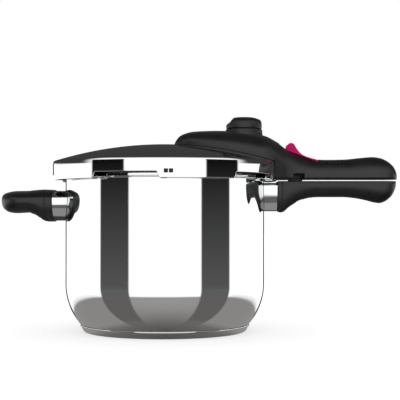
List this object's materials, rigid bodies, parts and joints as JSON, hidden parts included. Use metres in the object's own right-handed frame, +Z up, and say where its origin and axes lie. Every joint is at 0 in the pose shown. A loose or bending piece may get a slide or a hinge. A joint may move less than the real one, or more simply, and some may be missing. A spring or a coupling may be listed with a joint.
{
  "type": "stovetop pressure cooker",
  "caption": "Deep steel pan with a bayonet locking lid, paired long handles with a rotary valve knob and a sliding lock, and a short helper handle opposite.",
  "frame": {"origin": "on the pan's axis, on the flat face that it stands on", "axes": "+X along the long handles, +Z up, -Y towards a cook who has the long handles on the right"},
  "size_m": [0.4422, 0.2496, 0.2388],
  "materials": {
    "mirror_steel": "mirror polished stainless steel",
    "satin_steel": "satin stainless steel of brackets, screws and springs",
    "cast_aluminium": "aluminium heat-spreading core",
    "valve_brass": "turned brass",
    "black_phenolic": "black moulded phenolic with a soft satin skin",
    "black_silicone": "black moulded silicone",
    "black_oxide_steel": "hardened steel with a black oxide skin",
    "magenta_plastic": "magenta moulded plastic"
  },
  "bodies": {
    "pot": {"pot_body": "mirror_steel", "base_cap": "mirror_steel", "diffuser_core": "cast_aluminium", "long_handle_bracket": "satin_steel", "long_handle_sleeve": "mirror_steel", "lower_handle": "black_phenolic", "lower_handle_screw": "satin_steel", "lock_catch": "black_oxide_steel", "helper_bracket": "satin_steel", "helper_sleeve": "mirror_steel", "helper_handle": "black_phenolic", "helper_screw": "satin_steel"},
    "seal": {"lid_gasket": "black_silicone"},
    "lid": {"lid_shell": "mirror_steel", "upper_handle": "black_phenolic", "handle_base_cover": "black_phenolic", "cover_screw_front": "satin_steel", "cover_screw_rear": "satin_steel", "front_handle_screw": "satin_steel", "rear_handle_screw": "satin_steel", "regulator_body": "valve_brass", "regulator_washer": "black_silicone", "regulator_nut": "valve_brass", "regulator_spring": "satin_steel", "anti_clog_cap": "satin_steel", "safety_valve_body": "valve_brass", "safety_valve_washer": "black_silicone", "safety_valve_nut": "valve_brass", "safety_valve_spring": "satin_steel", "safety_valve_cage": "valve_brass", "indicator_bush": "black_silicone", "latch_spring": "satin_steel"},
    "selector": {"selector_knob": "black_phenolic", "selector_stem": "satin_steel", "selector_clip": "satin_steel"},
    "regulator": {"regulator_plunger": "satin_steel"},
    "safety": {"safety_valve_plunger": "satin_steel"},
    "indicator": {"indicator_pin": "magenta_plastic"},
    "slider": {"unlock_slider": "magenta_plastic"},
    "latch": {"latch_bolt": "satin_steel"}
  },
  "joints": [
    {"name": "lid_lift", "type": "slide", "parent": "pot", "child": "seal", "axis": [0, 0, 1], "range_m": [0, 0.15]},
    {"name": "lid_turn", "type": "hinge", "parent": "seal", "child": "lid", "pos_m": [0, 0, 0.175], "axis": [0, 0, 1], "range_deg": [0, 42]},
    {"name": "selector_turn", "type": "hinge", "parent": "lid", "child": "selector", "pos_m": [0.0886, 0, 0.23], "axis": [0, 0, 1], "range_deg": [-50, 50]},
    {"name": "regulator_lift", "type": "slide", "parent": "lid", "child": "regulator", "axis": [0, 0, 1], "range_m": [0, 0.002], "stiffness_N_per_m": 400, "deforming": ["regulator_spring"]},
    {"name": "safety_lift", "type": "slide", "parent": "lid", "child": "safety", "axis": [0, 0, 1], "range_m": [0, 0.002], "stiffness_N_per_m": 900, "deforming": ["safety_valve_spring"]},
    {"name": "indicator_rise", "type": "slide", "parent": "lid", "child": "indicator", "axis": [0, 0, 1], "range_m": [0, 0.004]},
    {"name": "slider_push", "type": "slide", "parent": "lid", "child": "slider", "axis": [-0.9371, 0, 0.3491], "range_m": [0, 0.007], "stiffness_N_per_m": 150, "springref_m": -0.004},
    {"name": "latch_slide", "type": "slide", "parent": "lid", "child": "latch", "axis": [-1, 0, 0], "range_m": [0, 0.0067]}
  ],
  "couplings": [
    {"joint": "latch_slide", "follows": "slider_push", "ratio": 0.9371}
  ]
}
